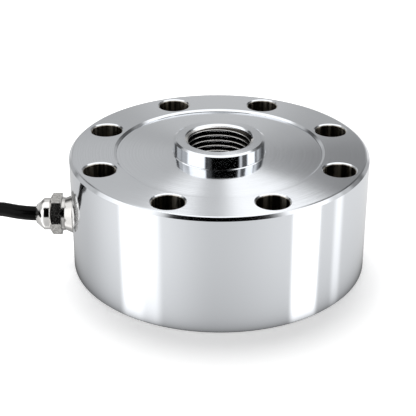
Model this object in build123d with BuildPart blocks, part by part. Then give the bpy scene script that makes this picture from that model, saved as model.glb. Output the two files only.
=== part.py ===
from build123d import *
from math import cos, pi, radians, sin, sqrt, tan
import os

# Pancake load cell of the spoked type: a steel ring bolted down by eight holes, a threaded hub that takes
# the load, and four spokes between them that carry the strain gauges. Millimetres, +Z up, the origin at
# the centre of the base, the cable leaving along -X.

# Ring
ring_diameter = 105.0
ring_height = 42.5
ring_top_chamfer = 1.1
edge_break_width = 0.5
edge_break_depth = 0.15
ring_bottom_chamfer = 0.6

# Bolt holes, set in from the ring's wall
bolt_count = 8
bolt_hole = 11.0
bolt_edge_distance = 8.5
bolt_mouth_chamfer = 0.6
bolt_foot_chamfer = 0.4

# Hub around an M24 x 2 female thread, of which the bore is the major diameter
thread_diameter = 24.0
thread_mouth_chamfer = 0.2
hub_wall = 4.0
hub_rise = 4.5
hub_bevel_width = 0.9
hub_bevel_depth = 0.45
hub_bottom_chamfer = 0.5
hub_clearance_below = 0.5
shoulder_width = 2.0

# Covers, on seats turned between the bolt holes and the spokes, recessed below the ring's faces
seat_wall = 2.45
seat_ledge = 2.05
seat_mouth_width = 0.9
seat_mouth_depth = 0.6
cover_thickness = 2.0
cover_recess = 0.7
cover_fit = 0.05
seal_bead = 0.3

# Spokes between two turned galleries
spoke_count = 4
spoke_width = 9.0
spoke_root_radius = 3.0
upper_gallery = 9.5
lower_gallery = 9.0
gallery_corner_radius = 1.0

# Strain gauges, on both sides of each spoke between its root radii
gauge_margin = 1.2
gauge_height = 8.0
gauge_thickness = 0.3
gauge_corner = 0.8
ribbon_width = 2.5
ribbon_thickness = 0.4
ribbon_lap = 3.0

# Board over the spokes, clear of the pocket's wall and of the hub's shoulder
board_outer_gap = 3.0
board_inner_gap = 1.5
board_thickness = 1.0
board_notch_width = 12.0
board_notch_corner = 1.0
pad_inset = 2.0
pad_side_inset = 0.75
pad_thickness = 0.8
pad_corner = 1.0
resistor_angles = (-60, -20, 20, 60)
resistor_length = 3.2
resistor_width = 1.6
resistor_height = 0.6
resistor_edge = 0.15

# Cable and its four cores
cable_diameter = 5.2
jacket_inset = 4.0
core_diameter = 1.2
core_pitch = 1.3
core_spread = 2.0
core_straight = 3.0
core_clearance = 2.0
core_bend = 2.5
core_landing = 2.5

# Gland
gland_height = 17.0
spot_face_depth = 1.1
spot_face_margin = 0.4
gland_thread_diameter = 10.0
gland_thread_length = 7.0
gland_thread_relief = 1.0
wire_hole_clearance = 0.4
washer_thickness = 0.6
washer_inset = 0.4
flange_diameter = 14.0
flange_length = 3.0
flange_tip_diameter = 11.7
flange_rim = 0.3
neck_diameter = 12.0
neck_length = 1.1
neck_groove_depth = 0.4
neck_groove_width = 0.2
gland_bore_clearance = 0.3
seal_wall = 1.3
seal_length = 3.8
seal_seat_depth = 3.2
spigot_wall = 0.9
spigot_length = 4.1
nut_gap = 0.1
nut_sides = 6
nut_across_flats = 13.0
nut_hex_length = 4.3
nut_turn = 57.0
nut_corner_angle = 30.0
dome_diameter = 11.5
dome_belt_length = 2.2
dome_length = 5.0
dome_shoulder_radius = 1.6
dome_lip_radius = 0.4
dome_lip_wall = 0.55
dome_hole_clearance = 0.15
claw_length = 2.4
claw_tip_wall = 0.5
claw_slots = 6
claw_slot_width = 0.6
claw_slot_depth = 1.8

# The cable's route from inside the gland to the coil that lies beyond it, chosen by hand
cable_route = [
    (-55.0, 0.0, gland_height),
    (-70.0, 0.0, gland_height),
    (-82.0, 6.0, 16.6),
    (-95.0, 7.5, 11.8),
    (-110.0, 10.5, 5.8),
    (-127.5, 20.3, 2.9),
    (-145.0, 30.1, cable_diameter / 2),
]
bend_share = 0.45
coil_center = (-162.0, -2.0)
coil_mean_diameter = 57.0
coil_columns = 4
coil_layers = 4
coil_chamfer = 1.5
tail_start_angle = 150.0
tail_sweep = 60.0
sleeve_wall = 0.3
sleeve_lap_angle = 12.0
sleeve_end_angle = 6.0
sleeve_core_gap = 0.18
lead_straight = 4.0
lead_angles = (24.0, 48.0, 72.0)
lead_heights = (1.4, 0.0, 0.0)
upper_lead_heights = (2.1, 0.0, 0.0)
lead_first_radius = 24.6
lead_radius_step = 2.6
lead_bend = 3.0

# Radii of the body that follow, from the outside in and from the thread out
ring_radius = ring_diameter / 2
bolt_circle_radius = ring_radius - bolt_edge_distance
seat_radius = bolt_circle_radius - bolt_hole / 2 - seat_wall
pocket_radius = seat_radius - seat_ledge
thread_radius = thread_diameter / 2
hub_radius = thread_radius + hub_wall
shoulder_radius = hub_radius + shoulder_width

# Heights that follow
hub_top = ring_height + hub_rise
upper_seat = ring_height - cover_recess - cover_thickness
lower_seat = cover_recess + cover_thickness
spoke_top = ring_height - upper_gallery
spoke_bottom = lower_gallery
spoke_middle = (spoke_top + spoke_bottom) / 2
board_bottom = spoke_top + pad_thickness
board_top = board_bottom + board_thickness

# The flat of a spoke's side, between its root radii
spoke_angles = [360 / spoke_count * (index + 0.5) for index in range(spoke_count)]
root_offset = spoke_width / 2 + spoke_root_radius
flat_start = sqrt((shoulder_radius + spoke_root_radius) ** 2 - root_offset**2)
flat_end = sqrt((pocket_radius - spoke_root_radius) ** 2 - root_offset**2)
gauge_radius = (flat_start + flat_end) / 2
gauge_length = flat_end - flat_start - 2 * gauge_margin

# Board and cores
board_outer_radius = pocket_radius - board_outer_gap
board_inner_radius = shoulder_radius + board_inner_gap
board_middle = (board_outer_radius + board_inner_radius) / 2
cable_radius = cable_diameter / 2
jacket_end = pocket_radius + jacket_inset
core_rise = board_middle + core_diameter / 2 + core_clearance
cores = ("red", "green", "black", "white")
core_bundle = core_pitch * sqrt(2) + core_diameter
tiny = 1e-4

os.makedirs("parts", exist_ok=True)


def save(builder, name):
    """Label a finished piece and write its STEP file."""
    builder.part.label = name
    export_step(builder.part, f"parts/{name}.step")


def spoke_side(angle, side, height, stand_off=0.0):
    """A plane on one side of a spoke at its middle, with X outwards and its normal away from the spoke."""
    outward = Vector(cos(radians(angle)), sin(radians(angle)), 0)
    across = Vector(-sin(radians(angle)), cos(radians(angle)), 0) * side
    origin = outward * gauge_radius + across * (spoke_width / 2 + stand_off) + Vector(0, 0, height)
    return Plane(origin=origin, x_dir=outward, z_dir=across)


def bend_radii(points):
    """The largest radii that a route's runs leave room for."""
    radii = []
    for before, corner, after in zip(points, points[1:], points[2:]):
        run_in = Vector(*corner) - Vector(*before)
        run_out = Vector(*after) - Vector(*corner)
        half_turn = radians(run_in.get_angle(run_out) / 2)
        radii.append(bend_share * min(run_in.length, run_out.length) / tan(half_turn))
    return radii


def round_wire(points, radii, diameter):
    """A round wire along straight runs joined by arcs."""
    with BuildPart() as wire:
        with BuildLine() as path:
            FilletPolyline(*points, radius=radii)
        with BuildSketch(Plane(origin=path.line @ 0, z_dir=path.line % 0)):
            Circle(diameter / 2)
        sweep()
    return wire


# Elastic body: ring, spokes and hub turned and milled from one piece of steel. The turned section has a
# gallery above and below the spokes; the pockets between the spokes are milled through.
with BuildPart() as load_cell_body:
    with BuildSketch(Plane.XZ) as section:
        with BuildLine():
            Polyline(
                (ring_radius - ring_bottom_chamfer, 0),
                (ring_radius, ring_bottom_chamfer),
                (ring_radius, ring_height - ring_top_chamfer),
                (ring_radius - ring_top_chamfer + edge_break_depth, ring_height - edge_break_depth),
                (ring_radius - ring_top_chamfer + edge_break_depth - edge_break_width, ring_height),
                (seat_radius + seat_mouth_width, ring_height),
                (seat_radius, ring_height - seat_mouth_depth),
                (seat_radius, upper_seat),
                (pocket_radius, upper_seat),
                (pocket_radius, spoke_top),
                (shoulder_radius, spoke_top),
                (shoulder_radius, upper_seat),
                (hub_radius, upper_seat),
                (hub_radius, hub_top - hub_bevel_depth),
                (hub_radius - hub_bevel_width, hub_top),
                (thread_radius + thread_mouth_chamfer, hub_top),
                (thread_radius, hub_top - thread_mouth_chamfer),
                (thread_radius, hub_clearance_below),
                (hub_radius - hub_bottom_chamfer, hub_clearance_below),
                (hub_radius, hub_clearance_below + hub_bottom_chamfer),
                (hub_radius, lower_seat),
                (shoulder_radius, lower_seat),
                (shoulder_radius, spoke_bottom),
                (pocket_radius, spoke_bottom),
                (pocket_radius, lower_seat),
                (seat_radius, lower_seat),
                (seat_radius, seat_mouth_depth),
                (seat_radius + seat_mouth_width, 0),
                close=True,
            )
        make_face()
        gallery_corners = section.vertices().filter_by(
            lambda v: abs(v.Z - spoke_top) < tiny or abs(v.Z - spoke_bottom) < tiny
        )
        fillet(gallery_corners, gallery_corner_radius)
    revolve(axis=Axis.Z)

    with BuildSketch(Plane.XY.offset(spoke_bottom)) as pockets:
        Circle(pocket_radius)
        Circle(shoulder_radius, mode=Mode.SUBTRACT)
        with PolarLocations(0, spoke_count, start_angle=spoke_angles[0]):
            Rectangle(
                ring_radius, spoke_width, align=(Align.MIN, Align.CENTER), mode=Mode.SUBTRACT
            )
        fillet(pockets.vertices(), spoke_root_radius)
    extrude(amount=spoke_top - spoke_bottom, mode=Mode.SUBTRACT)

    with BuildSketch():
        with PolarLocations(bolt_circle_radius, bolt_count, start_angle=180 / bolt_count):
            Circle(bolt_hole / 2)
    extrude(amount=ring_height, mode=Mode.SUBTRACT)
    for end, leg in ((-1, bolt_mouth_chamfer), (0, bolt_foot_chamfer)):
        hole_edges = (
            load_cell_body.edges()
            .filter_by(GeomType.CIRCLE)
            .filter_by(lambda edge: abs(edge.radius - bolt_hole / 2) < tiny)
        )
        chamfer(hole_edges.group_by(Axis.Z)[end], leg)

    gland_seat = ring_radius - spot_face_depth
    gland_hole_depth = gland_thread_length + gland_thread_relief
    cable_side = Plane(origin=(-gland_seat, 0, gland_height), x_dir=(0, -1, 0), z_dir=(-1, 0, 0))
    with BuildSketch(cable_side):
        Circle(flange_diameter / 2 + spot_face_margin)
    extrude(amount=spot_face_depth, mode=Mode.SUBTRACT)
    with BuildSketch(cable_side):
        Circle(gland_thread_diameter / 2)
    extrude(amount=-gland_hole_depth, mode=Mode.SUBTRACT)
    with BuildSketch(cable_side.offset(-gland_hole_depth)):
        Circle(cable_radius + wire_hole_clearance)
    extrude(amount=-(gland_seat - gland_hole_depth - board_middle), mode=Mode.SUBTRACT)
save(load_cell_body, "load_cell_body")

# Top cover: thin annular plate pressed between ring and hub, with a small sealing bead against the hub
cover_outer_radius = seat_radius - cover_fit
cover_inner_radius = hub_radius + cover_fit
with BuildPart() as top_cover:
    with BuildSketch(Plane.XZ):
        with BuildLine():
            Polyline(
                (cover_inner_radius, upper_seat),
                (cover_outer_radius, upper_seat),
                (cover_outer_radius, upper_seat + cover_thickness),
                (cover_inner_radius + seal_bead, upper_seat + cover_thickness),
                (cover_inner_radius, upper_seat + cover_thickness + seal_bead),
                close=True,
            )
        make_face()
    revolve(axis=Axis.Z)
save(top_cover, "top_cover")

# Bottom cover: the same plate without the bead, on the lower seats
with BuildPart() as bottom_cover:
    with BuildSketch(Plane.XY.offset(cover_recess)):
        Circle(cover_outer_radius)
        Circle(cover_inner_radius, mode=Mode.SUBTRACT)
    extrude(amount=cover_thickness)
save(bottom_cover, "bottom_cover")

# Strain gauges and the ribbons that lead from them up to the board's underside
ribbon_bottom = spoke_middle + gauge_height / 2 - ribbon_lap
ribbon_length = board_bottom - ribbon_bottom
gauge_sides = [(angle, side) for angle in spoke_angles for side in (1, -1)]
for number, (angle, side) in enumerate(gauge_sides, start=1):
    with BuildPart() as strain_gauge:
        with BuildSketch(spoke_side(angle, side, spoke_middle)):
            RectangleRounded(gauge_length, gauge_height, gauge_corner)
        extrude(amount=gauge_thickness)
    save(strain_gauge, f"strain_gauge_{number}")

    ribbon_middle = ribbon_bottom + ribbon_length / 2
    with BuildPart() as gauge_ribbon:
        with BuildSketch(spoke_side(angle, side, ribbon_middle, gauge_thickness)):
            Rectangle(ribbon_width, ribbon_length)
        extrude(amount=ribbon_thickness)
    save(gauge_ribbon, f"gauge_ribbon_{number}")

# Adhesive pads, one on each spoke
pad_width = board_outer_radius - board_inner_radius - 2 * pad_inset
pad_length = spoke_width - 2 * pad_side_inset
for number, angle in enumerate(spoke_angles, start=1):
    with BuildPart() as board_pad:
        with BuildSketch(Plane.XY.offset(spoke_top)):
            with PolarLocations(board_middle, 1, start_angle=angle):
                RectangleRounded(pad_width, pad_length, pad_corner)
        extrude(amount=pad_thickness)
    save(board_pad, f"board_pad_{number}")

# Annular board that joins the gauges into a bridge, notched where the cable's cores come up
with BuildPart() as bridge_board:
    with BuildSketch(Plane.XY.offset(board_bottom)) as board_outline:
        Circle(board_outer_radius)
        Circle(board_inner_radius, mode=Mode.SUBTRACT)
        with Locations((-board_middle, 0)):
            Rectangle(
                board_outer_radius,
                board_notch_width,
                align=(Align.MAX, Align.CENTER),
                mode=Mode.SUBTRACT,
            )
        notch_floor = board_outline.vertices().filter_by(lambda v: abs(v.X + board_middle) < tiny)
        fillet(notch_floor, board_notch_corner)
    extrude(amount=board_thickness)
save(bridge_board, "bridge_board")

# Chip resistors that trim the bridge's zero and span
for number, angle in enumerate(resistor_angles, start=1):
    with BuildPart() as trim_resistor:
        with BuildSketch(Plane.XY.offset(board_top)):
            with PolarLocations(board_middle, 1, start_angle=angle):
                Rectangle(resistor_width, resistor_length)
        extrude(amount=resistor_height)
        chamfer(trim_resistor.faces().sort_by(Axis.Z)[-1].edges(), resistor_edge)
    save(trim_resistor, f"trim_resistor_{number}")

# Cable gland. Its pieces are revolved about the cable's axis from profiles in a plane whose X is the
# distance out along -X and whose Y is the radius.
gland_plane = Plane(origin=(0, 0, gland_height), x_dir=(-1, 0, 0), z_dir=(0, 1, 0))
gland_axis = Axis((0, 0, gland_height), (-1, 0, 0))
thread_back = gland_seat - gland_thread_length
gland_bore_radius = cable_radius + gland_bore_clearance
seal_radius = cable_radius + seal_wall
spigot_radius = seal_radius + spigot_wall
neck_groove_radius = neck_diameter / 2 - neck_groove_depth
claw_tip_radius = cable_radius + claw_tip_wall
dome_hole_radius = cable_radius + dome_hole_clearance
flange_back = gland_seat + washer_thickness
flange_front = flange_back + flange_length
neck_front = flange_front + neck_length
spigot_front = neck_front + spigot_length
seal_seat = spigot_front - seal_seat_depth
seal_front = seal_seat + seal_length
claw_front = seal_front + claw_length
nut_back = neck_front + nut_gap
hex_front = nut_back + nut_hex_length
dome_front = hex_front + dome_length

with BuildPart() as gland_washer:
    with BuildSketch(cable_side):
        Circle(flange_diameter / 2 - washer_inset)
        Circle(gland_thread_diameter / 2, mode=Mode.SUBTRACT)
    extrude(amount=washer_thickness)
save(gland_washer, "gland_washer")

with BuildPart() as gland_base:
    with BuildSketch(gland_plane):
        with BuildLine():
            Polyline(
                (thread_back, gland_bore_radius),
                (thread_back, gland_thread_diameter / 2),
                (flange_back, gland_thread_diameter / 2),
                (flange_back, flange_diameter / 2),
                (flange_back + flange_rim, flange_diameter / 2),
                (flange_front, flange_tip_diameter / 2),
                (flange_front, neck_groove_radius),
                (flange_front + neck_groove_width, neck_groove_radius),
                (flange_front + neck_groove_width, neck_diameter / 2),
                (neck_front, neck_diameter / 2),
                (neck_front, spigot_radius),
                (spigot_front, spigot_radius),
                (spigot_front, seal_radius),
                (seal_seat, seal_radius),
                (seal_seat, gland_bore_radius),
                close=True,
            )
        make_face()
    revolve(axis=gland_axis)
save(gland_base, "gland_base")

with BuildPart() as gland_seal:
    with BuildSketch(gland_plane):
        with BuildLine():
            Polyline(
                (seal_seat, cable_radius),
                (seal_seat, seal_radius),
                (seal_front, seal_radius),
                (seal_front, cable_radius),
                close=True,
            )
        make_face()
    revolve(axis=gland_axis)
save(gland_seal, "gland_seal")

with BuildPart() as gland_claw:
    with BuildSketch(gland_plane):
        with BuildLine():
            Polyline(
                (seal_front, cable_radius),
                (seal_front, seal_radius),
                (claw_front, claw_tip_radius),
                (claw_front, cable_radius),
                close=True,
            )
        make_face()
    revolve(axis=gland_axis)
    slot_plane = Plane(origin=(-claw_front, 0, gland_height), x_dir=(0, -1, 0), z_dir=(-1, 0, 0))
    with BuildSketch(slot_plane):
        with PolarLocations(0, claw_slots):
            Rectangle(2 * seal_radius, claw_slot_width, align=(Align.MIN, Align.CENTER))
    extrude(amount=-claw_slot_depth, mode=Mode.SUBTRACT)
save(gland_claw, "gland_claw")

# Compression nut: a hexagon with its outer corners turned off, running into a domed end
hex_corner_radius = nut_across_flats / 2 / cos(pi / nut_sides)
corner_drop = (hex_corner_radius - dome_diameter / 2) * tan(radians(nut_corner_angle))
with BuildPart() as gland_nut:
    with BuildSketch(
        Plane(origin=(-nut_back, 0, gland_height), x_dir=(0, -1, 0), z_dir=(-1, 0, 0))
    ):
        RegularPolygon(nut_across_flats / 2, nut_sides, major_radius=False, rotation=nut_turn)
    extrude(amount=nut_hex_length)
    with BuildSketch(gland_plane):
        with BuildLine():
            Polyline(
                (nut_back, 0),
                (nut_back, hex_corner_radius),
                (hex_front - corner_drop, hex_corner_radius),
                (hex_front, dome_diameter / 2),
                (hex_front, 0),
                close=True,
            )
        make_face()
    revolve(axis=gland_axis, mode=Mode.INTERSECT)
    with BuildSketch(gland_plane) as dome_profile:
        with BuildLine():
            Polyline(
                (hex_front, 0),
                (hex_front, dome_diameter / 2),
                (hex_front + dome_belt_length, dome_diameter / 2),
                (dome_front, dome_hole_radius + dome_lip_wall),
                (dome_front, 0),
                close=True,
            )
        make_face()
        shoulder = dome_profile.vertices().filter_by(
            lambda v: abs(v.X + hex_front + dome_belt_length) < tiny
        )
        fillet(shoulder, dome_shoulder_radius)
        lip = dome_profile.vertices().filter_by(
            lambda v: abs(v.X + dome_front) < tiny and v.Z > gland_height + tiny
        )
        fillet(lip, dome_lip_radius)
    revolve(axis=gland_axis)
    with BuildSketch(gland_plane):
        with BuildLine():
            Polyline(
                (nut_back, 0),
                (nut_back, spigot_radius),
                (spigot_front, spigot_radius),
                (spigot_front, seal_radius),
                (seal_front, seal_radius),
                (claw_front, claw_tip_radius),
                (claw_front, dome_hole_radius),
                (dome_front, dome_hole_radius),
                (dome_front, 0),
                close=True,
            )
        make_face()
    revolve(axis=gland_axis, mode=Mode.SUBTRACT)
save(gland_nut, "gland_nut")

# Cable outside the coil, from the end of its jacket in the ring's wall, and the coil that it runs into.
# The coil is one ring as large as its turns.
route_radii = bend_radii(cable_route)
print("cable bend radii:", [round(radius, 1) for radius in route_radii])
coil_outer_radius = coil_mean_diameter / 2 + coil_columns * cable_radius
coil_inner_radius = coil_mean_diameter / 2 - coil_columns * cable_radius
coil_height = coil_layers * cable_diameter
with BuildPart() as cable_coil:
    with BuildSketch() as coil_outline:
        with Locations(coil_center):
            Circle(coil_outer_radius)
            Circle(coil_inner_radius, mode=Mode.SUBTRACT)
    extrude(amount=coil_height)
    chamfer(cable_coil.edges().filter_by(GeomType.CIRCLE), coil_chamfer)
save(cable_coil, "cable_coil")

with BuildPart() as cable_run:
    with BuildLine() as cable_path:
        Line((-jacket_end, 0, gland_height), cable_route[0])
        FilletPolyline(*cable_route, radius=route_radii)
    with BuildSketch(Plane(origin=(-jacket_end, 0, gland_height), z_dir=(-1, 0, 0))):
        Circle(cable_radius)
    sweep()
    path_length = sum(edge.length for edge in cable_path.edges())
    ideal = pi * cable_radius**2 * path_length
    print(f"cable run: {path_length:.1f} mm, volume over section x length: {cable_run.part.volume / ideal:.5f}")
    add(cable_coil.part, mode=Mode.SUBTRACT)
save(cable_run, "cable_run")

# Cores, from the jacket's end through the wire hole and up over the board's notch to its top
for index, color in enumerate(cores):
    jacket_y = core_pitch / 2 * (1 if index >= 2 else -1)
    jacket_z = gland_height + core_pitch / 2 * (1 if index in (0, 3) else -1)
    board_y = (index - (len(cores) - 1) / 2) * core_spread
    landing_z = board_top + core_diameter / 2
    core_points = [
        (-jacket_end, jacket_y, jacket_z),
        (-jacket_end + core_straight, jacket_y, jacket_z),
        (-core_rise, board_y, jacket_z),
        (-core_rise, board_y, landing_z),
        (-board_inner_radius - core_landing, board_y, landing_z),
    ]
    save(round_wire(core_points, core_bend, core_diameter), f"core_{color}")

# The cable's last turn lies on top of the coil. A shrunk sleeve closes the end of its jacket, and four
# stripped leads fan out of it.
coil_mean_radius = coil_mean_diameter / 2
sleeve_bore_radius = core_bundle / 2 + sleeve_core_gap
sleeve_radius = cable_radius + sleeve_wall
tail_height = coil_height + sleeve_radius
tail_end_angle = tail_start_angle + tail_sweep
coil_axis = Axis((*coil_center, 0), (0, 0, 1))


def on_coil(angle, radius, height):
    """A point over the coil."""
    return Vector(
        coil_center[0] + radius * cos(radians(angle)),
        coil_center[1] + radius * sin(radians(angle)),
        height,
    )


def along_coil(angle):
    """The direction of the turns at an angle."""
    return Vector(-sin(radians(angle)), cos(radians(angle)), 0)


def across_tail(angle):
    """The plane that the tail crosses at an angle."""
    return Plane(origin=on_coil(angle, coil_mean_radius, tail_height), z_dir=along_coil(angle))


with BuildPart() as cable_tail:
    with BuildSketch(across_tail(tail_start_angle)):
        Circle(cable_radius)
    revolve(axis=coil_axis, revolution_arc=tail_sweep)
save(cable_tail, "cable_tail")

with BuildPart() as end_sleeve:
    with BuildSketch(across_tail(tail_end_angle - sleeve_lap_angle)):
        Circle(sleeve_radius)
        Circle(cable_radius, mode=Mode.SUBTRACT)
    revolve(axis=coil_axis, revolution_arc=sleeve_lap_angle)
    with BuildSketch(across_tail(tail_end_angle)):
        Circle(sleeve_radius)
        Circle(sleeve_bore_radius, mode=Mode.SUBTRACT)
    revolve(axis=coil_axis, revolution_arc=sleeve_end_angle)
save(end_sleeve, "end_sleeve")

for index, color in enumerate(cores):
    inner_side = -1 if index < 2 else 1
    upper_side = 1 if index in (0, 3) else -1
    start_radius = coil_mean_radius + inner_side * core_pitch / 2
    start = on_coil(tail_end_angle, start_radius, tail_height + upper_side * core_pitch / 2)
    fan_radius = lead_first_radius + index * lead_radius_step
    lead_points = [start, start + along_coil(tail_end_angle) * lead_straight]
    heights = upper_lead_heights if upper_side > 0 else lead_heights
    for angle, height in zip(lead_angles, heights):
        lead_height = coil_height + core_diameter / 2 + height
        lead_points.append(on_coil(tail_end_angle + angle, fan_radius, lead_height))
    save(round_wire(lead_points, lead_bend, core_diameter), f"lead_{color}")
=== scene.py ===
"""Pancake load cell with a threaded hub and a signal cable, on a pale studio floor."""

from math import cos, pi, radians, sin, tan

import bpy
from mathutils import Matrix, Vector


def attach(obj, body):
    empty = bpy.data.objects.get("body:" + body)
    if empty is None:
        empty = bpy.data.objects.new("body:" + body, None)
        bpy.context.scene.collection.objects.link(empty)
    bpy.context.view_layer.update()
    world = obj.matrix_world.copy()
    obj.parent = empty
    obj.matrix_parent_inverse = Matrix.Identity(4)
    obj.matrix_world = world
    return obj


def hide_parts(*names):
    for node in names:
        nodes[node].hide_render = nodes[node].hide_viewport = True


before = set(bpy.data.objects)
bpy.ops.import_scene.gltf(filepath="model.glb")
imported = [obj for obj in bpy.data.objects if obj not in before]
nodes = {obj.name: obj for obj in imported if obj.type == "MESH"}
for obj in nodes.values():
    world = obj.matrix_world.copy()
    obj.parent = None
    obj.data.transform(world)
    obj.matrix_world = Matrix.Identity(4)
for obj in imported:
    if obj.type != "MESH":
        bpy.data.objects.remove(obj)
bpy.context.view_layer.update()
bpy.ops.object.select_all(action="DESELECT")

# Signal cable: 3 m of smooth black PVC jacket, 5.2 mm thick, straight out of the gland and down to the
# table. What the picture doesn't show is wound into a neat coil, four turns wide and four high.
cable_diameter = 0.0052
cable_height = 0.017
cable_route = [
    (-0.038, 0.0, cable_height),
    (-0.055, 0.0, cable_height),
    (-0.070, 0.0, cable_height),
    (-0.082, 0.0060, 0.0166),
    (-0.095, 0.0075, 0.0118),
    (-0.110, 0.0105, 0.0058),
    (-0.1275, 0.0203, 0.0029),
]
coil_center = Vector((-0.162, -0.002, 0.0))
coil_rows = 4
outer_turn = 0.0363
join_angle = 62.0
points_per_turn = 16
# A spline of order 3 cuts inside its control points, so they lie this much further out
corner_cut = cos(pi / points_per_turn)
# Each turn steps beside or over its neighbour along a third of a turn, and each layer does so a third
# of a turn before the layer under it, so that no two turns meet
step_sweep = 120.0
# The last turn climbs onto the coil and settles near its eye, where the stripped end lies
top_gap = 0.0003
tail_radius = 0.0285
tail_end = join_angle + 148.0
climb_lead = 280.0
climb_sweep = 110.0


def eased(share):
    """0 to 1 with soft ends, held beyond them."""
    share = min(max(share, 0.0), 1.0)
    return 0.4 * share + 0.6 * share * share * (3 - 2 * share)


def turn_place(angle):
    """Radius and height of the cable at an angle wound so far."""
    radius = outer_turn
    height = cable_diameter / 2
    for step in range(1, coil_rows * coil_rows):
        layer = (step - 1) // coil_rows
        begin = join_angle + 360 * step - step_sweep * (layer + 1)
        lean = pi / 2 * eased((angle - begin) / step_sweep)
        if step % coil_rows == 0:
            height += cable_diameter * sin(lean)
        else:
            radius += cable_diameter * (1 - cos(lean)) * (1 if layer % 2 else -1)
    climb = pi / 2 * eased((angle - climb_begin) / climb_sweep)
    radius -= cable_diameter * (1 - cos(climb))
    height += (cable_diameter + top_gap) * sin(climb)
    settled = eased((angle - climb_begin - climb_sweep) / climb_sweep)
    return radius + settled * (tail_radius - outer_turn + cable_diameter), height


def over_coil(angle, radius, height):
    """A point over the coil, at an angle counted anticlockwise from +X."""
    spread = Vector((cos(radians(angle)), sin(radians(angle)), 0)) * radius
    return coil_center + spread + Vector((0, 0, height))


cable_end = tail_end + 360 * (coil_rows * coil_rows - 1)
climb_begin = cable_end - climb_lead
angle = join_angle
while angle < cable_end - 180 / points_per_turn:
    turn_radius, turn_height = turn_place(angle)
    cable_route.append(over_coil(angle, turn_radius / corner_cut, turn_height))
    angle += 360 / points_per_turn
cable_route.append(over_coil(cable_end, *turn_place(cable_end)))

cable_curve = bpy.data.curves.new("signal_cable", "CURVE")
cable_curve.dimensions = "3D"
cable_curve.bevel_resolution = 6
cable_curve.resolution_u = 6
cable_curve.use_fill_caps = True
cable_line = cable_curve.splines.new("NURBS")
cable_line.points.add(len(cable_route) - 1)
# The curve's own box grows by its points' radius, so that is the cable's, and the bevel is 1
cable_curve.bevel_depth = 1.0
for point, place in zip(cable_line.points, cable_route):
    point.co = (*place, 1.0)
    point.radius = cable_diameter / 2
cable_line.order_u = 3
cable_line.use_endpoint_u = True
signal_cable = bpy.data.objects.new("signal_cable", cable_curve)
bpy.context.collection.objects.link(signal_cable)
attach(signal_cable, "root")
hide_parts("cable_run", "cable_coil", "cable_tail")


class Wire:
    """An output in a node tree, on which sums are written as on a number."""

    def __init__(self, tree, socket):
        self.tree = tree
        self.socket = socket

    def __add__(self, other):
        return self.tree.sum("ADD", self, other)

    def __sub__(self, other):
        return self.tree.sum("SUBTRACT", self, other)

    def __rsub__(self, other):
        return self.tree.sum("SUBTRACT", other, self)

    def __mul__(self, other):
        return self.tree.sum("MULTIPLY", self, other)

    def __truediv__(self, other):
        return self.tree.sum("DIVIDE", self, other)

    def __rtruediv__(self, other):
        return self.tree.sum("DIVIDE", other, self)

    def __neg__(self):
        return self.tree.sum("MULTIPLY", self, -1.0)

    __radd__ = __add__
    __rmul__ = __mul__


class Tree:
    """The node tree of a finish or of the studio, with its output node in place."""

    def __init__(self, owner, output):
        owner.use_nodes = True
        self.nodes = owner.node_tree.nodes
        self.links = owner.node_tree.links
        self.nodes.clear()
        self.output = self.nodes.new(output)

    def node(self, kind, settings=(), sockets=(), out=0):
        """Adds a node, sets it up, joins or sets its sockets and gives one of its outputs."""
        made = self.nodes.new(kind)
        for name, value in dict(settings).items():
            setattr(made, name, value)
        numbered = sockets if isinstance(sockets, dict) else dict(enumerate(sockets))
        for name, value in numbered.items():
            if isinstance(value, Wire):
                self.links.new(value.socket, made.inputs[name])
            else:
                made.inputs[name].default_value = value
        return Wire(self, made.outputs[out])

    def sum(self, operation, *values):
        return self.node("ShaderNodeMath", {"operation": operation}, values)

    def vector(self, operation, *values):
        return self.node("ShaderNodeVectorMath", {"operation": operation}, values)

    def parts(self, vector):
        """The X, Y and Z of a vector."""
        split = self.node("ShaderNodeSeparateXYZ", (), [vector])
        return [Wire(self, split.socket.node.outputs[index]) for index in range(3)]

    def step(self, value, low, high):
        """0 below low, 1 above high and smooth between them."""
        return self.node(
            "ShaderNodeMapRange",
            {"interpolation_type": "SMOOTHSTEP"},
            {"Value": value, "From Min": low, "From Max": high},
        )

    def band(self, value, low, high, soft):
        """1 between low and high, and soft at both edges."""
        return self.step(value, low - soft, low + soft) * (1 - self.step(value, high - soft, high + soft))

    def mix(self, share, first, second):
        """A colour between two others."""
        return self.node("ShaderNodeMix", {"data_type": "RGBA"}, {0: share, 6: first, 7: second}, out=2)

    def noise(self, vector, scale, detail=2.0):
        return self.node("ShaderNodeTexNoise", (), {"Vector": vector, "Scale": scale, "Detail": detail})

    def lined_noise(self, value, scale, detail=1.0):
        """Noise along one value, for grooves and drawn lines."""
        return self.node(
            "ShaderNodeTexNoise", {"noise_dimensions": "1D"}, {"W": value, "Scale": scale, "Detail": detail}
        )


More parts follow.
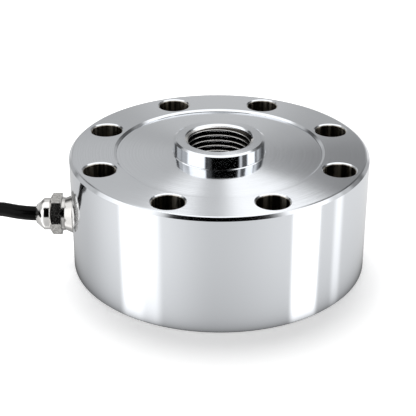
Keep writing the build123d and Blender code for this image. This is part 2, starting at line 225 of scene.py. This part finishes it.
class Finish(Tree):
    """A procedural material, put together from one Principled shader."""

    def __init__(self, name, color=(0.8, 0.8, 0.8), **sockets):
        self.material = bpy.data.materials.new(name)
        super().__init__(self.material, "ShaderNodeOutputMaterial")
        self.place = self.node("ShaderNodeTexCoord", out="Object")
        self.shader = self.node("ShaderNodeBsdfPrincipled")
        self.links.new(self.shader.socket, self.output.inputs["Surface"])
        self.set(base_color=(*color, 1.0), **sockets)

    def set(self, **sockets):
        """Sets or joins sockets of the shader, by names with underscores for spaces."""
        inputs = self.shader.socket.node.inputs
        for name, value in sockets.items():
            socket = inputs[name.replace("_", " ").title().replace("Ior", "IOR")]
            if isinstance(value, Wire):
                self.links.new(value.socket, socket)
            else:
                socket.default_value = value

    def bump(self, height, distance):
        """Raises the surface by a height from 0 to 1, over a distance in metres."""
        self.set(normal=self.node("ShaderNodeBump", (), {"Height": height, "Distance": distance}))

    def paint(self, *names):
        """Gives this finish to pieces of the part."""
        for name in names:
            piece = nodes[name] if name in nodes else bpy.data.objects[name]
            piece.data.materials.clear()
            piece.data.materials.append(self.material)


# Jacket of the cable: extruded PVC, deep black and glossy, with the faint waviness that the extruder
# leaves. The plain cable solids under it get the same finish.
jacket = Finish("jacket_pvc", (0.002, 0.002, 0.002), specular_ior_level=0.07)
jacket.set(roughness=jacket.noise(jacket.place, 900) * 0.10 + 0.14)
jacket.bump(jacket.noise(jacket.place, 260), 0.00006)
jacket.paint("signal_cable", "cable_run", "cable_coil", "cable_tail")

# End sleeve and leads: heat-shrunk tube over the jacket's end, and four stripped cores that fan out of
# it. Inside the cell, the same four cores go from the jacket's end up to the board.
sleeve = Finish("shrunk_sleeve", (0.02, 0.02, 0.021))
sleeve.set(roughness=sleeve.noise(sleeve.place, 1500) * 0.2 + 0.45)
sleeve.bump(sleeve.noise(sleeve.place, 1100), 0.00008)
sleeve.paint("end_sleeve")
core_colors = {
    "red": (0.60, 0.04, 0.03),
    "green": (0.03, 0.30, 0.08),
    "black": (0.02, 0.02, 0.02),
    "white": (0.82, 0.82, 0.80),
}
for name, color in core_colors.items():
    insulation = Finish(f"insulation_{name}", color)
    insulation.set(roughness=insulation.noise(insulation.place, 2500) * 0.15 + 0.25)
    insulation.bump(insulation.noise(insulation.place, 1800), 0.00003)
    insulation.paint(f"core_{name}", f"lead_{name}")

# Elastic body: one piece of alloy steel, nickel plated. Its faces are fine turned about the hub's axis
# and its wall is polished. The bolt holes are drilled, so they stay rough, and inside they are darkened
# with painted shade.
steel_color = (0.778, 0.80, 0.832, 1)
feed_mark_color = (0.705, 0.726, 0.757, 1)
hole_shade_color = (0.10, 0.09, 0.075, 1)
streak_reflection_color = (0.60, 0.56, 0.49, 1)
bolt_circle = 0.044
bolt_hole_radius = 0.0055
bolt_edge_radius = 0.0065
bolt_spacing = 45.0
hub_mouth_radius = 0.0137
hub_mouth_height = 0.0460


def turned_steel(name, lean):
    """Steel turned about the hub's axis. The tool leaves saw-toothed grooves, whose long sides lean out."""
    steel = Finish(name, steel_color[:3], metallic=1.0)
    x, y, z = steel.parts(steel.place)
    normal = steel.node("ShaderNodeNewGeometry", out="Normal")
    _, _, upward = steel.parts(normal)
    flat = steel.step(steel.sum("ABSOLUTE", upward), 0.75, 0.95)
    radius = steel.sum("SQRT", x * x + y * y)
    along = radius + z
    fine = steel.lined_noise(along, 9000)
    coarse = steel.lined_noise(along, 900)
    groove = flat * ((fine - 0.5) * 0.06 + (coarse - 0.5) * 0.015 - tan(radians(lean)))
    polish = (fine - 0.5) * (1 - flat) * 0.02
    around = steel.node("ShaderNodeCombineXYZ", (), [-y / radius, x / radius, 0.0])
    inward = steel.vector("CROSS_PRODUCT", normal, around)
    leaning = steel.node(
        "ShaderNodeVectorMath", {"operation": "SCALE"}, {0: inward, "Scale": groove + polish}
    )
    cloud = steel.noise(steel.place, 90, 3.0)
    smooth = flat * 0.03 + 0.08 + (cloud - 0.5) * 0.03
    # The drilled holes: angles are folded onto the nearest hole, and lighter streaks, painted reflections
    # of the lamps, run along its axis
    sector = steel.sum("FLOORED_MODULO", steel.sum("ARCTAN2", y, x), radians(bolt_spacing))
    off_axis = sector - radians(bolt_spacing / 2)
    hole_x = radius * steel.sum("COSINE", off_axis) - bolt_circle
    hole_y = radius * steel.sum("SINE", off_axis)
    hole_distance = steel.sum("SQRT", hole_x * hole_x + hole_y * hole_y)
    past_wall = steel.step(hole_distance, bolt_hole_radius + 0.0001, bolt_hole_radius + 0.0003)
    drilled = (1 - flat) * (1 - past_wall)
    lengthways = steel.node("ShaderNodeCombineXYZ", (), [hole_x, hole_y, z * 0.03])
    reflection_streaks = steel.step(steel.noise(lengthways, 480, 3.0), 0.38, 0.70)
    hole_shade_and_streak_color = steel.mix(reflection_streaks, hole_shade_color, streak_reflection_color)
    # The edges of the holes and the mouth of the hub are rounded over by hand, so their normals turn up
    past_edge = steel.step(hole_distance, bolt_edge_radius, bolt_edge_radius + 0.0004)
    hole_edge = steel.step(upward, 0.4, 0.6) * (1 - past_edge)
    past_mouth = steel.step(radius, hub_mouth_radius, hub_mouth_radius + 0.0002)
    mouth = (1 - past_mouth) * steel.step(z, hub_mouth_height, hub_mouth_height + 0.0002)
    rounded = (1 - flat) * (hole_edge * 0.6 + mouth * (1.4 - upward * 1.2))
    rounding = steel.node("ShaderNodeCombineXYZ", (), [0.0, 0.0, rounded])
    turned = steel.vector("ADD", normal, steel.vector("ADD", leaning, rounding))
    steel.set(normal=steel.vector("NORMALIZE", turned))
    # The tool's feed leaves rings that are a little darker on the flat faces
    feed_marks = flat * steel.step(steel.lined_noise(along, 3200, 2.0), 0.35, 0.70) * 0.7
    turned_color = steel.mix(feed_marks, steel_color, feed_mark_color)
    # Inside the bolt holes the colour is painted shade, with lighter painted reflection streaks
    steel.set(base_color=steel.mix(drilled, turned_color, hole_shade_and_streak_color))
    steel.set(roughness=smooth + drilled * (0.20 + reflection_streaks * 0.2))
    return steel


turned_steel("body_steel", lean=4.0).paint("load_cell_body")

# Covers: two rings of the same steel, 2 mm thick, fine turned and pressed into their seats over the
# gauges. Their grooves lean a little more than the body's, so their sheen lies elsewhere.
turned_steel("cover_steel", lean=4.5).paint("top_cover", "bottom_cover")

# Hub thread: the ridge of M24 x 2 inside the bore, cut by a tap. The bore's chamfers run it out at both
# ends, so two cones are taken off it.
thread_pitch = 0.002
thread_turns = 23
thread_start = 0.00065
root_radius = 0.01205
crest_radius = 0.010917
root_width = 0.0018
crest_share = 0.13
bpy.ops.mesh.primitive_plane_add(
    size=1, rotation=(pi / 2, 0, 0), location=((root_radius + crest_radius) / 2, 0, thread_start)
)
thread = bpy.context.object
thread.name = "hub_thread"
thread.scale = (root_radius - crest_radius, root_width, 1)
bpy.ops.object.transform_apply(location=True, rotation=True, scale=True)
for vertex in thread.data.vertices:
    vertex.select = vertex.co.x < (root_radius + crest_radius) / 2
for edge in thread.data.edges:
    edge.select = all(thread.data.vertices[index].select for index in edge.vertices)
thread.data.polygons[0].select = False
bpy.ops.object.mode_set(mode="EDIT")
bpy.ops.transform.resize(value=(1, 1, crest_share), center_override=(crest_radius, 0, thread_start))
bpy.ops.object.mode_set(mode="OBJECT")
winding = thread.modifiers.new("winding", "SCREW")
winding.axis = "Z"
winding.screw_offset = thread_pitch
winding.iterations = thread_turns
winding.steps = 64
winding.render_steps = 64
bpy.ops.object.modifier_apply(modifier="winding")
bpy.ops.object.mode_set(mode="EDIT")
bpy.ops.mesh.select_all(action="SELECT")
bpy.ops.mesh.fill_holes(sides=4)
bpy.ops.mesh.select_all(action="SELECT")
bpy.ops.mesh.normals_make_consistent(inside=False)
bpy.ops.object.mode_set(mode="OBJECT")
run_out_wide = 0.0136
run_out_narrow = 0.0096
run_out_slope = tan(radians(30))
run_out_depth = (run_out_wide - run_out_narrow) * run_out_slope
for low_radius, high_radius, middle in (
    (run_out_wide, run_out_narrow, 0.0008),
    (run_out_narrow, run_out_wide, 0.0466),
):
    bpy.ops.mesh.primitive_cone_add(
        vertices=96,
        radius1=low_radius,
        radius2=high_radius,
        depth=run_out_depth,
        location=(0, 0, middle),
    )
    run_out = bpy.context.object
    taken_off = thread.modifiers.new("run_out", "BOOLEAN")
    taken_off.operation = "DIFFERENCE"
    taken_off.solver = "EXACT"
    taken_off.object = run_out
    bpy.context.view_layer.objects.active = thread
    bpy.ops.object.modifier_apply(modifier="run_out")
    bpy.data.objects.remove(run_out)
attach(thread, "root")
# Painted shade between its ridges, where their flanks lie in shade, and a painted highlight on their crests
# and at its mouth
ridge_shade_color = (0.03, 0.027, 0.024, 1)
crest_highlight_color = (0.95, 0.94, 0.92, 1)
mouth_height = 0.0457
tapped = Finish("tapped_steel", metallic=1.0)
thread_x, thread_y, thread_z = tapped.parts(tapped.place)
thread_radius = tapped.sum("SQRT", thread_x * thread_x + thread_y * thread_y)
crest = 1 - tapped.step(thread_radius, crest_radius + 0.00002, crest_radius + 0.00005)
mouth = tapped.step(thread_z, mouth_height, mouth_height + 0.0003)
# The crests get the painted highlight in part and the mouth gets it fully; the rest is painted shade
painted_highlight = tapped.sum("MAXIMUM", crest * 0.55, mouth)
tapped.set(base_color=tapped.mix(painted_highlight, ridge_shade_color, crest_highlight_color))
tapped.set(roughness=tapped.noise(tapped.place, 2600) * 0.12 + painted_highlight * 0.10 + 0.10)
rounding = tapped.node("ShaderNodeCombineXYZ", (), [0.0, 0.0, crest * 1.4])
ridge_normal = tapped.vector("ADD", tapped.node("ShaderNodeNewGeometry", out="Normal"), rounding)
to_axis_x = -thread_x / thread_radius
to_axis_y = -thread_y / thread_radius
mouth_normal = tapped.node("ShaderNodeCombineXYZ", (), [to_axis_x, to_axis_y, 1 / run_out_slope])
tapped_normal = tapped.mix(mouth, ridge_normal, mouth_normal)
tapped.set(normal=tapped.vector("NORMALIZE", tapped_normal))
tapped.paint("hub_thread")

# Strain gauges: eight foil gauges on the sides of the spokes, a constantan grid on amber film, and
# the flat ribbons that lead from them up to the board.
line_pitch = 0.0008
film_color = (0.62, 0.36, 0.10, 1)
foil_color = (0.45, 0.40, 0.33, 1)
gauge_film = Finish("gauge_film", roughness=0.3, coat_weight=0.4)
_, _, gauge_z = gauge_film.parts(gauge_film.place)
grid = gauge_film.step(gauge_film.sum("SINE", gauge_z * (2 * pi / line_pitch)), -0.2, 0.2)
gauge_film.set(base_color=gauge_film.mix(grid, film_color, foil_color))
gauge_film.bump(grid, 0.00002)
gauge_film.paint(*[f"strain_gauge_{number}" for number in range(1, 9)])
ribbon_film = Finish("ribbon_film", (0.55, 0.33, 0.12))
ribbon_film.set(roughness=ribbon_film.noise(ribbon_film.place, 1400) * 0.15 + 0.22)
ribbon_film.bump(ribbon_film.noise(ribbon_film.place, 900), 0.00004)
ribbon_film.paint(*[f"gauge_ribbon_{number}" for number in range(1, 9)])

# Bridge board: a glass-epoxy ring on four foam pads, with round copper tracks under green mask, and
# four chip resistors with tinned ends that trim the bridge.
track_pitch = 0.0016
mask_color = (0.03, 0.16, 0.09, 1)
track_color = (0.06, 0.27, 0.14, 1)
board = Finish("board_laminate", roughness=0.35)
board_x, board_y, _ = board.parts(board.place)
board_radius = board.sum("SQRT", board_x * board_x + board_y * board_y)
tracks = board.step(board.sum("SINE", board_radius * (2 * pi / track_pitch)), 0.1, 0.4)
board.set(base_color=board.mix(tracks, mask_color, track_color))
board.bump(tracks + board.noise(board.place, 2500) * 0.3, 0.00003)
board.paint("bridge_board")
foam = Finish("pad_foam", roughness=0.9)
cells = foam.node("ShaderNodeTexVoronoi", (), {"Vector": foam.place, "Scale": 2600})
foam.set(base_color=foam.mix(cells, (0.60, 0.60, 0.57, 1), (0.84, 0.84, 0.82, 1)))
foam.bump(cells, 0.0002)
foam.paint(*[f"board_pad_{number}" for number in range(1, 5)])
resistor_turns = (-60.0, -20.0, 20.0, 60.0)
half_ceramic = 0.00105
ceramic_color = (0.02, 0.02, 0.022, 1)
tin_color = (0.72, 0.72, 0.70, 1)
for number, turn in enumerate(resistor_turns, start=1):
    chip = Finish(f"trim_resistor_{number}")
    chip_x, chip_y, _ = chip.parts(chip.place)
    along_chip = chip.sum("ABSOLUTE", chip_y * cos(radians(turn)) - chip_x * sin(radians(turn)))
    tinned = chip.step(along_chip, half_ceramic, half_ceramic + 0.0001)
    chip.set(base_color=chip.mix(tinned, ceramic_color, tin_color))
    chip.set(metallic=tinned, roughness=chip.noise(chip.place, 3000) * 0.2 + 0.3)
    chip.paint(f"trim_resistor_{number}")

# Gland: nickel-plated brass, cast and turned, so its faces keep a fine grain. A rubber washer seals it
# on the body, and a nylon claw and a rubber seal inside it grip the cable.
turned_radius = 0.0059
cable_hole_radius = 0.0031
dome_back = 0.0605
dome_length = 0.005
dome_bulge = -2.6
dome_color = (0.78, 0.77, 0.755, 1)
cast_color = (0.66, 0.652, 0.63, 1)
pit_color = (0.38, 0.37, 0.355, 1)
nickel = Finish("gland_nut_nickel", metallic=1.0)
gland_x, gland_y, gland_z = nickel.parts(nickel.place)
gland_z = gland_z - cable_height
off_gland = nickel.sum("SQRT", gland_y * gland_y + gland_z * gland_z)
cast = nickel.step(off_gland, turned_radius, turned_radius + 0.0002)
grain = nickel.noise(nickel.place, 1700, 3.0)
pits = nickel.step(grain, 0.42, 0.56)
nickel_color = nickel.mix(cast, dome_color, cast_color)
nickel.set(base_color=nickel.mix(cast * (1 - pits), nickel_color, pit_color))
nickel.set(roughness=grain * 0.10 + cast * 0.10 + 0.07)
# The nut's dome has the normals of a ball, and the grain is raised only on the cast faces
along_dome = (-gland_x - dome_back) / dome_length
past_hole = nickel.step(off_gland, cable_hole_radius, cable_hole_radius + 0.0002)
dome = nickel.step(along_dome, 0.0, 0.02) * past_hole
bulge = nickel.sum("MAXIMUM", along_dome - 0.3, 0.0) * dome_bulge
ball = nickel.node("ShaderNodeCombineXYZ", (), [bulge, gland_y / off_gland, gland_z / off_gland])
ball_normal = nickel.vector("NORMALIZE", ball)
nut_normal = nickel.mix(dome, nickel.node("ShaderNodeNewGeometry", out="Normal"), ball_normal)
raised = {"Height": grain * (cast * 0.93 + 0.07), "Distance": 0.00010, "Normal": nut_normal}
nickel.set(normal=nickel.node("ShaderNodeBump", (), raised))
nickel.paint("gland_nut")
base_nickel = Finish("gland_base_nickel", (0.60, 0.59, 0.575), metallic=1.0)
base_nickel.set(roughness=base_nickel.noise(base_nickel.place, 1400) * 0.10 + 0.12)
base_nickel.bump(base_nickel.noise(base_nickel.place, 1900), 0.00001)
base_nickel.paint("gland_base")
seal_rubber = Finish("seal_rubber", (0.008, 0.008, 0.008), roughness=0.6, specular_ior_level=0.15)
seal_rubber.bump(seal_rubber.noise(seal_rubber.place, 3000), 0.00005)
seal_rubber.paint("gland_washer", "gland_seal")
claw_nylon = Finish("claw_nylon", (0.75, 0.74, 0.70), roughness=0.5)
claw_nylon.bump(claw_nylon.noise(claw_nylon.place, 2000), 0.00003)
claw_nylon.paint("gland_claw")

# Table: a round white board, matt, that keeps the cell's soft shadow. Its end under the cable is brighter
# and keeps none. Mirrored in metal it is clear, apart from the shade where the cell stands on it.
table_material = bpy.data.materials.new("table_white")
table_top = Tree(table_material, "ShaderNodeOutputMaterial")
table_rim = 0.38
bpy.ops.mesh.primitive_circle_add(vertices=96, radius=table_rim, fill_type="NGON", location=(0, 0, 0))
table = bpy.context.object
table.name = "table"
table.data.materials.append(table_material)
is_glossy = table_top.node("ShaderNodeLightPath", out="Is Glossy Ray")
table_x, table_y, _ = table_top.parts(table_top.node("ShaderNodeTexCoord", out="Object"))
table_radius = table_top.sum("SQRT", table_x * table_x + table_y * table_y)
matt = table_top.node("ShaderNodeBsdfDiffuse", (), {"Color": (0.8, 0.8, 0.8, 1)})
bright_end = table_top.step(table_y * 0.6 - table_x, 0.040, 0.054)
faint_glow = table_top.node("ShaderNodeEmission", (), {"Color": (1, 1, 1, 1), "Strength": 0.51})
strong_glow = table_top.node("ShaderNodeEmission", (), {"Color": (1, 1, 1, 1), "Strength": 0.83})
glow = table_top.node("ShaderNodeMixShader", (), [bright_end, faint_glow, strong_glow])
seen = table_top.node("ShaderNodeAddShader", (), [matt, glow])
clear = table_top.node("ShaderNodeBsdfTransparent")
shade = table_top.node("ShaderNodeEmission", (), {"Color": (1, 1, 1, 1), "Strength": 0.07})
wall_radius = 0.0525
half_shade = 0.0028
gap = table_top.sum("MAXIMUM", table_radius - wall_radius, 0.0)
near = half_shade / (gap + half_shade) * (1 - table_top.step(gap, 0.02, 0.07))
mirrored = table_top.node("ShaderNodeMixShader", (), [near, clear, shade])
surface = table_top.node("ShaderNodeMixShader", (), [is_glossy, seen, mirrored])
table_top.links.new(surface.socket, table_top.output.inputs["Surface"])

# Studio: plain soft light for matt surfaces, and for the metal a ring of lamps and black flags around
# and above it. Angles are in degrees: turn goes round from the camera's side to +X, rise is over the
# horizon, over goes from the horizon behind the cell across the zenith, and aside is left or right of that.
studio = bpy.data.worlds.new("studio")
bpy.context.scene.world = studio
sky = Tree(studio, "ShaderNodeOutputWorld")
dx, dy, dz = sky.parts(sky.node("ShaderNodeTexCoord", out="Generated"))
turn = sky.sum("ARCTAN2", dx, -dy) * (180 / pi)
rise = sky.sum("ARCSINE", dz) * (180 / pi)
over = sky.sum("ARCTAN2", dz, dy) * (180 / pi)
aside = sky.sum("ARCSINE", dx) * (180 / pi)
white = 1.35


def patch(turn_from, turn_to, rise_from, rise_to, soft_turn, soft_rise):
    """The share of a direction that a lamp or a flag covers."""
    return sky.band(turn, turn_from, turn_to, soft_turn) * sky.band(rise, rise_from, rise_to, soft_rise)


def lay(under, share, level):
    """Covers what is under with a brightness."""
    return under * (1 - share) + share * level


# Under the horizon, as the wall mirrors it: soft light, brighter towards the sides than in the middle, and
# over it white strips, each given as turn from and to, how soft its edges are, and its brightness
lower = lay(0.70, 1 - sky.step(turn, -50, -2), 0.95)
lower = lay(lower, sky.step(turn, -2, 60), 0.87)
lower = lay(lower, 1 - sky.step(turn, -128, -80), 0.66)
lower = lay(lower, sky.step(turn, 92, 135), 0.84)
low_strips = (
    (-68, -47, 4, 1.5),
    (-80, -62, 4, 2.0),
    (58, 81, 3, 2.3),
    (98, 107, 3, 1.3),
)
for turn_from, turn_to, soft, brightness in low_strips:
    lower = lay(lower, sky.band(turn, turn_from, turn_to, soft), brightness)
# Behind the cell: a grey wall, darker to the right, with a light spot low in its middle and a light gap
# between the lamps
upper = lay(0.58, sky.step(aside, -7, -3), 0.48)
upper = lay(upper, sky.step(aside, 5, 10), 0.28)
upper = lay(upper, 1 - sky.step(over, 17, 24), 0.47)
upper = lay(upper, (1 - sky.step(over, 14, 20)) * sky.band(aside, -5, 6, 2), 0.62)
upper = lay(upper, sky.band(over, 31, 60, 1.5) * sky.band(aside, -3, 3, 1.5), 0.62)
# At its sides, white lamps with flags and dark walls, and then the black camera side with a faint light to
# the left. Each is given as turn from and to, rise from and to, both softnesses and its brightness.
side_patches = (
    (-150, -130, 13, 40, 4, 3, 0.10),
    (-129, -85, -10, 48, 4, 5, 0.60),
    (-111, -105, -10, 48, 3, 5, 0.42),
    (98, 128, 8, 48, 3, 4, 0.28),
    (106, 118, 8, 48, 3, 4, 0.62),
    (128, 150, 13, 40, 4, 3, 0.10),
    (-85, -35, -10, 48, 4, 5, 1.7),
    (50, 58, -10, 44, 2, 5, 0.9),
    (58, 73, -10, 44, 2, 5, 0.12),
    (73, 98, -10, 48, 3, 5, 1.7),
    (-35, 50, -10, 48, 3, 4, 0.0),
    (-54, 76, 42, 68, 5, 3, 0.0),
    (-33, -21, -10, 40, 5, 5, 0.09),
)
for *edges, brightness in side_patches:
    upper = lay(upper, patch(*edges), brightness)
# Overhead, a dim lamp and two white ones side by side, and a wide one beyond them. Each is given as its
# range and softness over the cell, the same aside, and its brightness.
overhead_lamps = (
    ((33.5, 82, 1.5), (-12, -3, 1.5), 0.78),
    ((34, 82, 1.2), (-4.5, -1.2, 0.8), white),
    ((32.2, 82, 1.2), (1.5, 9, 0.8), white),
    ((60, 110, 4), (-55, 55, 6), white),
)
for over_range, aside_range, brightness in overhead_lamps:
    upper = lay(upper, sky.band(over, *over_range) * sky.band(aside, *aside_range), brightness)
above = sky.step(rise, -3, 3)
pattern = lower * (1 - above) + upper * above
glossy = sky.node("ShaderNodeLightPath", out="Is Glossy Ray")
straight = sky.node("ShaderNodeLightPath", out="Is Camera Ray")
plain = 0.16
level = glossy * pattern + (1 - glossy) * (straight + (1 - straight) * plain)
background = sky.node("ShaderNodeBackground", (), {"Color": (1, 1, 1, 1), "Strength": level})
sky.links.new(background.socket, sky.output.inputs["Surface"])

# One soft lamp, high behind the cell, that throws the shadow towards the camera
lamp_data = bpy.data.lights.new("back_lamp", "AREA")
lamp_data.shape = "DISK"
lamp_data.size = 0.45
lamp_data.energy = 6.4
back_lamp = bpy.data.objects.new("back_lamp", lamp_data)
back_lamp.location = (-0.02, 0.277, 0.961)
back_lamp.rotation_euler = (radians(-16.1), 0, 0)
back_lamp.visible_glossy = False
bpy.context.collection.objects.link(back_lamp)

# Camera: a long lens in front of the cell, close to its middle, that looks down by 27 degrees
camera_data = bpy.data.cameras.new("camera")
camera_data.lens = 102.76
camera_data.sensor_width = 36.0
camera = bpy.data.objects.new("camera", camera_data)
camera.location = (-0.00517, -0.38004, 0.21428)
camera.rotation_euler = (radians(62.843), radians(-0.125), radians(-0.131))
bpy.context.collection.objects.link(camera)
bpy.context.scene.camera = camera
bpy.context.scene.view_settings.view_transform = "Standard"
